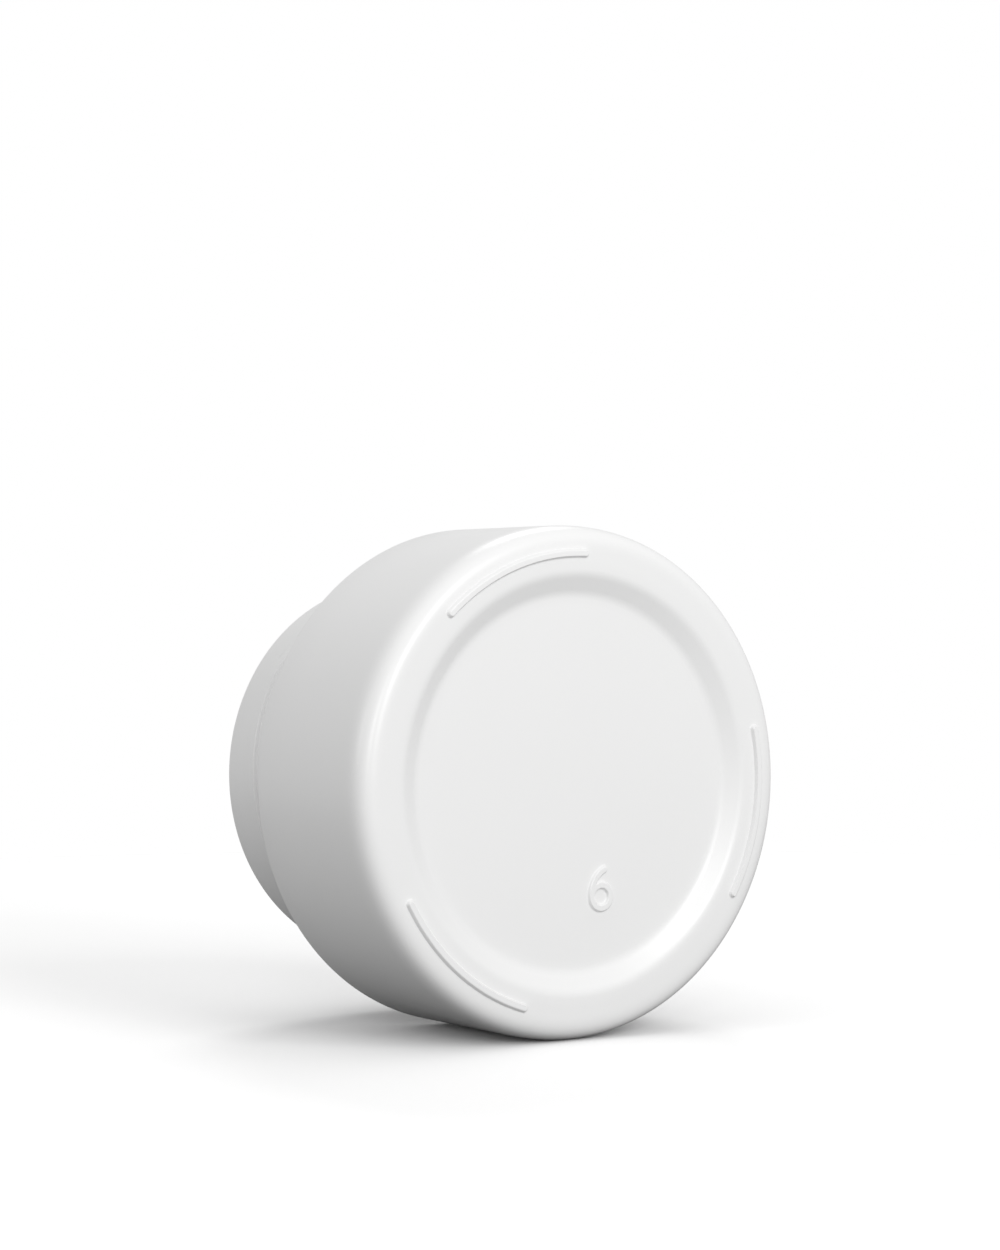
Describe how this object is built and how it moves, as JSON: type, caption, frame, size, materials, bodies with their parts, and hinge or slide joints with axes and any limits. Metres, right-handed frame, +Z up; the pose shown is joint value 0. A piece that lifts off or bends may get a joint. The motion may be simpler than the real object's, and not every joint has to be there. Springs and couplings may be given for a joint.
{
  "type": "pill crusher",
  "caption": "Round twist pill crusher: wide smooth base with a recessed foot, screw-in knob carrying a toothed crushing head, and a lidded tablet store.",
  "frame": {"origin": "centre of the base on the plane of the three foot ribs", "axes": "+Z up the screw axis, towards the knob; +X towards the side that faces the viewer's left in a view of the foot"},
  "size_m": [0.06, 0.06, 0.0416],
  "materials": {
    "white_shell": "satin moulded polypropylene",
    "white_liner": "satin moulded polypropylene",
    "white_knob": "satin moulded polypropylene",
    "white_lid": "satin moulded polypropylene",
    "cup_nylon": "natural nylon",
    "head_nylon": "natural nylon",
    "seal_silicone": "grey silicone",
    "acetal": "smooth acetal",
    "stainless": "turned stainless steel"
  },
  "bodies": {
    "base": {"base_shell": "white_shell", "threaded_liner": "white_liner", "crushing_cup": "cup_nylon"},
    "head": {"crushing_head": "head_nylon", "powder_seal": "seal_silicone", "swivel_washer": "acetal", "retaining_washer": "stainless", "head_screw": "stainless"},
    "knob": {"twist_knob": "white_knob"},
    "lid": {"top_lid": "white_lid"}
  },
  "joints": [
    {"name": "head_travel", "type": "slide", "parent": "base", "child": "head", "axis": [0, 0, 1], "range_m": [-0.01201, 0.00361]},
    {"name": "knob_turn", "type": "hinge", "parent": "head", "child": "knob", "pos_m": [0, 0, 0.0326], "axis": [0, 0, 1], "range_deg": [-480, 144]},
    {"name": "lid_lift", "type": "slide", "parent": "knob", "child": "lid", "axis": [0, 0, 1], "range_m": [0, 0.012]}
  ],
  "couplings": [
    {"joint": "head_travel", "follows": "knob_turn", "m_per_rad": 0.0014324}
  ]
}
